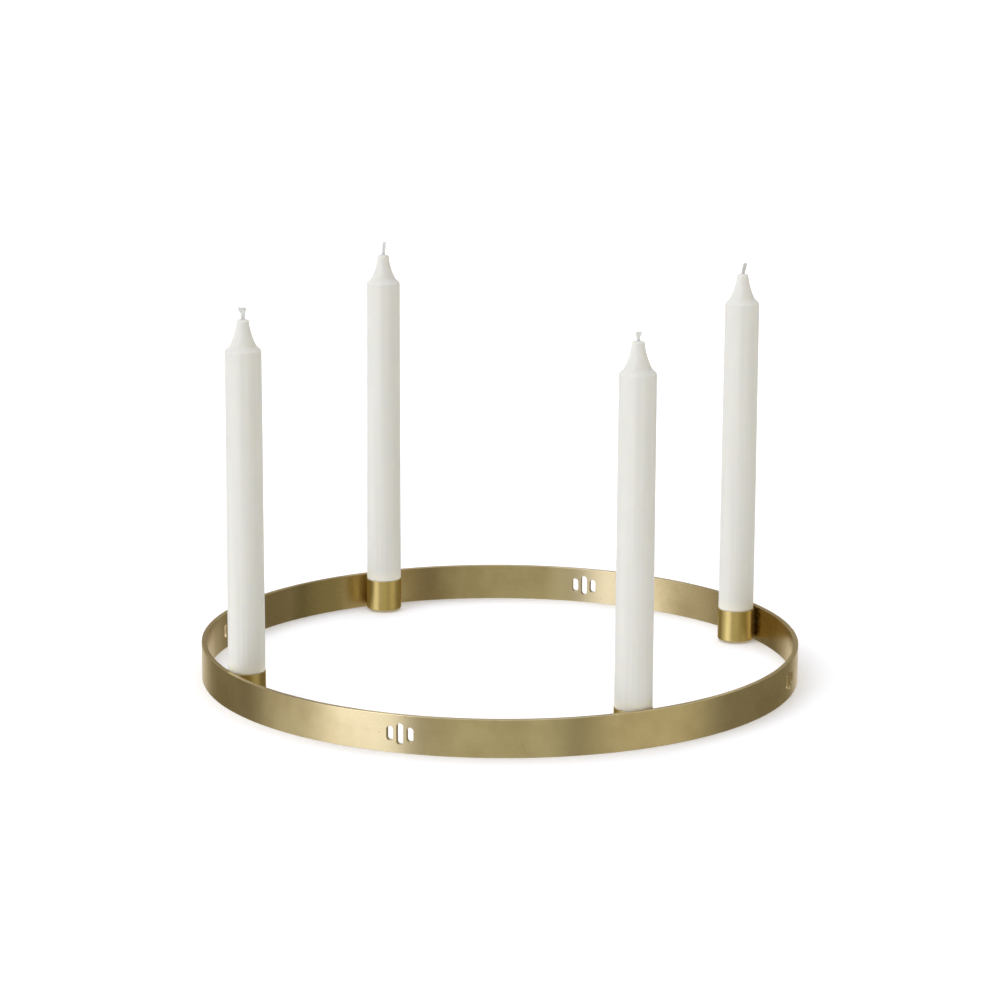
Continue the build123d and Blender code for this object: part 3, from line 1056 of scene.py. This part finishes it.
def make_floor():
    """Wide pale floor, lit a little from below as a light table is."""
    mesh = bpy.data.meshes.new("floor")
    corners = [(x * FLOOR_REACH, y * FLOOR_REACH, 0) for x, y in ((-1, -1), (1, -1), (1, 1), (-1, 1))]
    mesh.from_pydata(corners, [], [(0, 1, 2, 3)])
    floor = bpy.data.objects.new("floor", mesh)
    bpy.context.scene.collection.objects.link(floor)
    material, tree, shader = new_material("pale_floor")
    tone = noise(tree, add_node(tree, "TexCoord").outputs["Object"], 3.0, 2.0)
    feed(tree, shader, {
        "Base Color": mix(tree, tone, FLOOR_DIM, FLOOR_PALE),
        "Roughness": 0.9,
        "Specular IOR Level": 0.1,
        "Emission Color": (1.0, 1.0, 1.0, 1.0),
        "Emission Strength": FLOOR_GLOW,
    })
    mesh.materials.append(material)
    floor.visible_glossy = False


def raised_way(azimuth, height):
    """Direction at an azimuth and a height in degrees."""
    return polar(math.cos(math.radians(height)), azimuth, math.sin(math.radians(height)))


def make_studio():
    """Soft studio: panels of light between darker corners, a light from behind, a ceiling and two fills."""
    world = bpy.data.worlds.new("studio")
    bpy.context.scene.world = world
    world.use_nodes = True
    tree = world.node_tree
    way = add_node(tree, "TexCoord").outputs["Generated"]
    x, y, z = split(tree, way)
    level = vector_calc(tree, "NORMALIZE", combine(tree, x, y, 0.0))
    height = calc(tree, "MULTIPLY", calc(tree, "ARCSINE", z), 180 / math.pi)
    above = remap(tree, height, -HORIZON_SOFTNESS, HORIZON_SOFTNESS)
    overhead = remap(tree, height, *OVERHEAD_HEIGHTS)

    def angle_from(direction, target):
        """Angle in degrees between two directions."""
        facing = vector_calc(tree, "DOT_PRODUCT", direction, target)
        return calc(tree, "MULTIPLY", calc(tree, "ARCCOSINE", facing), 180 / math.pi)

    def fade(value, edge, soft, low, high):
        """Low before an edge and high after it."""
        return remap(tree, value, edge - soft, edge + soft, low, high)

    def lit(total, strength, tint):
        """Light with one more added to it."""
        return vector_calc(tree, "MULTIPLY_ADD", combine(tree, strength, strength, strength), tint, total)

    walls = calc(tree, "MULTIPLY", calc(tree, "SUBTRACT", 1.0, overhead), STUDIO_BASE)
    total = lit((0.0, 0.0, 0.0), walls, STUDIO_BASE_TINT)
    total = lit(total, calc(tree, "MULTIPLY", overhead, STUDIO_BASE), OVERHEAD_TINT)
    for azimuth, half, soft, upper, lower, top, tint in STUDIO_PANELS:
        share = fade(angle_from(level, polar(1.0, azimuth)), half, soft, 1.0, 0.0)
        share = calc(tree, "MULTIPLY", share, fade(height, top, PANEL_TOP_SOFTNESS, 1.0, 0.0))
        strength = calc(tree, "ADD", lower, calc(tree, "MULTIPLY", above, upper - lower))
        total = lit(total, calc(tree, "MULTIPLY", share, strength), tint)
    azimuth, raised, half, soft, bright = BACK_LIGHT
    behind = angle_from(way, raised_way(azimuth, raised))
    total = lit(total, fade(behind, half, soft, bright, 0.0), OVERHEAD_TINT)
    bright, start, soft = CEILING
    total = lit(total, fade(height, start, soft, 0.0, bright), OVERHEAD_TINT)
    tree.links.new(total, tree.nodes["Background"].inputs["Color"])
    for azimuth, raised, power in FILL_LAMPS:
        lamp = bpy.data.lights.new("fill", "AREA")
        lamp.shape, lamp.size, lamp.energy = "DISK", FILL_SIZE, power
        fill = bpy.data.objects.new("fill", lamp)
        bpy.context.scene.collection.objects.link(fill)
        aim = raised_way(azimuth, raised)
        fill.location = aim * FILL_DISTANCE
        fill.rotation_euler = aim.to_track_quat("Z", "Y").to_euler()
        fill.visible_glossy = False


def make_camera():
    """Camera at the photograph's place and angle."""
    data = bpy.data.cameras.new("camera")
    data.lens = CAMERA_LENS
    data.sensor_width = CAMERA_SENSOR
    data.clip_start, data.clip_end = CAMERA_CLIP
    camera = bpy.data.objects.new("camera", data)
    bpy.context.scene.collection.objects.link(camera)
    roll = math.radians(CAMERA_ROLL)
    ahead = raised_way(CAMERA_AZIMUTH, -CAMERA_DOWN)
    right = polar(1.0, CAMERA_AZIMUTH - 90)
    up = right.cross(ahead)
    tilted_right = right * math.cos(roll) + up * math.sin(roll)
    tilted_up = up * math.cos(roll) - right * math.sin(roll)
    turn = Matrix((tilted_right, tilted_up, -ahead)).transposed()
    camera.matrix_world = Matrix.Translation(CAMERA_PLACE) @ turn.to_4x4()
    bpy.context.scene.camera = camera


make_ring()
for index, cup_azimuth in enumerate(CUP_AZIMUTHS):
    make_cup(index + 1, cup_azimuth)
    make_braze(index + 1, cup_azimuth)
    make_candle(index + 1, cup_azimuth)
    make_wick(index + 1, cup_azimuth)
make_floor()
make_studio()
make_camera()
bpy.context.scene.view_settings.view_transform = "Standard"
